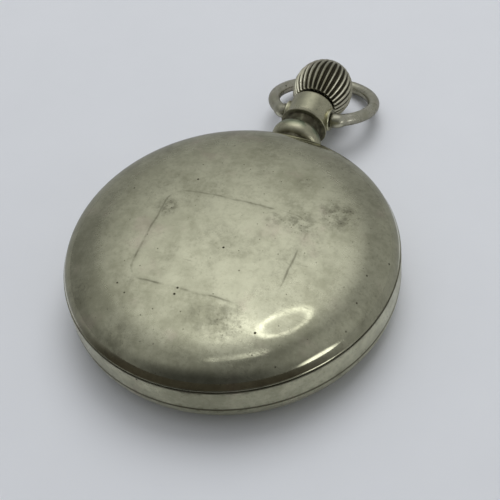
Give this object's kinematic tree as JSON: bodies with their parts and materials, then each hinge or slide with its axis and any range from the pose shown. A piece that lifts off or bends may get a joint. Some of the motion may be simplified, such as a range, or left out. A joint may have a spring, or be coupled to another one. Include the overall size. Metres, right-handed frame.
{
  "type": "open face pocket watch",
  "caption": "Open face keyless pocket watch in a round nickel case with a plain domed back, ribbed crown and swinging bow.",
  "frame": {"origin": "centre of the crystal's flat outer face, on the case axis", "axes": "+Z from the crystal to the back cover, +Y along the stem towards the crown"},
  "size_m": [0.057, 0.084, 0.0178],
  "materials": {
    "case_nickel": "worn satin nickel silver with tarnish",
    "steel": "ground and polished steel",
    "glass": "clear flat crystal",
    "enamel": "fired white enamel",
    "blued_steel": "heat blued steel",
    "gilt": "frosted gilding",
    "brass": "polished brass",
    "ruby": "polished ruby"
  },
  "bodies": {
    "case": {"case_center": "case_nickel", "pendant": "case_nickel", "pendant_sleeve": "steel", "main_plate": "gilt", "top_plate": "gilt", "barrel_bridge": "gilt", "pillars": "gilt", "plate_screws": "blued_steel", "plate_jewels": "ruby", "case_screws": "blued_steel", "dial_screws": "blued_steel", "dial": "enamel", "click_spring": "steel", "crown_wheel_core": "steel", "pallet_bridge": "gilt", "hairspring": "blued_steel", "hairspring_stud": "steel", "balance_cock": "gilt", "balance_cock_screw": "blued_steel"},
    "bow": {"bow": "case_nickel"},
    "back": {"back_cover": "case_nickel"},
    "bezel_ring": {"bezel": "case_nickel", "crystal": "glass"},
    "winding_works": {"winding_arbor": "steel", "winding_pinion": "steel"},
    "clutch": {"clutch": "steel"},
    "crown_and_stem": {"stem": "steel", "crown": "case_nickel"},
    "setting_lever": {"setting_lever": "steel"},
    "crown_wheel": {"crown_wheel": "steel"},
    "ratchet": {"ratchet_wheel": "steel", "barrel_arbor": "steel"},
    "click": {"click": "steel"},
    "barrel": {"barrel": "brass", "barrel_cover": "brass", "mainspring": "steel"},
    "center_arbor": {"center_wheel": "gilt", "center_pinion": "steel", "cannon_pinion": "steel", "minute_hand": "blued_steel"},
    "third_arbor": {"third_wheel": "gilt", "third_pinion": "steel"},
    "fourth_arbor": {"fourth_wheel": "gilt", "fourth_pinion": "steel", "seconds_hand": "blued_steel"},
    "escape_arbor": {"escape_wheel": "steel", "escape_pinion": "steel"},
    "minute_wheel": {"minute_wheel": "brass"},
    "setting_wheel": {"setting_wheel": "steel"},
    "hour_wheel": {"hour_wheel": "brass", "hour_hand": "blued_steel"},
    "lever": {"pallet_fork": "steel", "pallet_stones": "ruby", "pallet_arbor": "steel"},
    "balance": {"roller": "steel", "balance_wheel": "gilt", "balance_screws": "brass", "balance_staff": "steel"},
    "regulator": {"regulator": "steel"}
  },
  "joints": [
    {"name": "bow_swing", "type": "hinge", "parent": "case", "child": "bow", "pos_m": [0, 0.0379, 0.0074], "axis": [1, 0, 0], "range_deg": [-124, 167]},
    {"name": "back_lift", "type": "slide", "parent": "case", "child": "back", "axis": [0, 0, 1], "range_m": [0, 0.03]},
    {"name": "bezel_lift", "type": "slide", "parent": "case", "child": "bezel_ring", "axis": [0, 0, -1], "range_m": [0, 0.03]},
    {"name": "crown_turn", "type": "hinge", "parent": "case", "child": "winding_works", "pos_m": [0, 0.02, 0.0074], "axis": [0, 1, 0], "continuous": true},
    {"name": "crown_pull", "type": "slide", "parent": "winding_works", "child": "crown_and_stem", "axis": [0, 1, 0], "range_m": [0, 0.0012]},
    {"name": "clutch_slide", "type": "slide", "parent": "winding_works", "child": "clutch", "axis": [0, -1, 0], "range_m": [0, 0.0008]},
    {"name": "setting_lever_turn", "type": "hinge", "parent": "case", "child": "setting_lever", "pos_m": [0.0043, 0.0176, 0.0083], "axis": [0, 0, 1], "range_deg": [0, 20]},
    {"name": "crown_wheel_turn", "type": "hinge", "parent": "case", "child": "crown_wheel", "pos_m": [0, 0.01393, 0.01], "axis": [0, 0, 1], "continuous": true},
    {"name": "ratchet_turn", "type": "hinge", "parent": "case", "child": "ratchet", "pos_m": [-0.008, 0.0062, 0.01], "axis": [0, 0, 1], "continuous": true},
    {"name": "click_lift", "type": "hinge", "parent": "case", "child": "click", "pos_m": [-0.01598, 0.00479, 0.01], "axis": [0, 0, -1], "range_deg": [0, 12]},
    {"name": "fourth_turn", "type": "hinge", "parent": "case", "child": "fourth_arbor", "pos_m": [0, -0.011, 0.0085], "axis": [0, 0, 1], "continuous": true},
    {"name": "third_turn", "type": "hinge", "parent": "case", "child": "third_arbor", "pos_m": [0.0062, -0.00652, 0.0095], "axis": [0, 0, 1], "continuous": true},
    {"name": "center_turn", "type": "hinge", "parent": "case", "child": "center_arbor", "pos_m": [0, 0, 0.009], "axis": [0, 0, 1], "continuous": true},
    {"name": "barrel_turn", "type": "hinge", "parent": "case", "child": "barrel", "pos_m": [-0.008, 0.0062, 0.008], "axis": [0, 0, 1], "continuous": true},
    {"name": "escape_turn", "type": "hinge", "parent": "case", "child": "escape_arbor", "pos_m": [-0.00598, -0.01379, 0.009], "axis": [0, 0, 1], "continuous": true},
    {"name": "minute_wheel_turn", "type": "hinge", "parent": "case", "child": "minute_wheel", "pos_m": [0.00164, 0.00451, 0.006], "axis": [0, 0, 1], "continuous": true},
    {"name": "setting_wheel_turn", "type": "hinge", "parent": "case", "child": "setting_wheel", "pos_m": [0, 0.01028, 0.006], "axis": [0, 0, 1], "continuous": true},
    {"name": "hour_turn", "type": "hinge", "parent": "case", "child": "hour_wheel", "pos_m": [0, 0, 0.005], "axis": [0, 0, 1], "continuous": true},
    {"name": "lever_rock", "type": "hinge", "parent": "case", "child": "lever", "pos_m": [-0.00813, -0.01023, 0.009], "axis": [0, 0, 1], "range_deg": [-5, 5]},
    {"name": "balance_swing", "type": "hinge", "parent": "case", "child": "balance", "pos_m": [-0.011, -0.0055, 0.012], "axis": [0, 0, 1], "range_deg": [-270, 270], "stiffness_Nm_per_rad": 0.00001},
    {"name": "regulator_turn", "type": "hinge", "parent": "case", "child": "regulator", "pos_m": [-0.011, -0.0055, 0.014], "axis": [0, 0, 1], "range_deg": [-25, 25]}
  ],
  "couplings": [
    {"joint": "clutch_slide", "follows": "crown_pull", "ratio": 0.6667},
    {"joint": "setting_lever_turn", "follows": "crown_pull", "rad_per_m": 290},
    {"joint": "crown_wheel_turn", "follows": "crown_turn", "ratio": -0.42857},
    {"joint": "ratchet_turn", "follows": "crown_turn", "ratio": 0.34985},
    {"joint": "third_turn", "follows": "fourth_turn", "ratio": -0.13333},
    {"joint": "center_turn", "follows": "fourth_turn", "ratio": 0.016667},
    {"joint": "barrel_turn", "follows": "fourth_turn", "ratio": -0.0025},
    {"joint": "escape_turn", "follows": "fourth_turn", "ratio": -10},
    {"joint": "minute_wheel_turn", "follows": "fourth_turn", "ratio": -0.0055556},
    {"joint": "setting_wheel_turn", "follows": "fourth_turn", "ratio": 0.0083333},
    {"joint": "hour_turn", "follows": "fourth_turn", "ratio": 0.0013889}
  ]
}
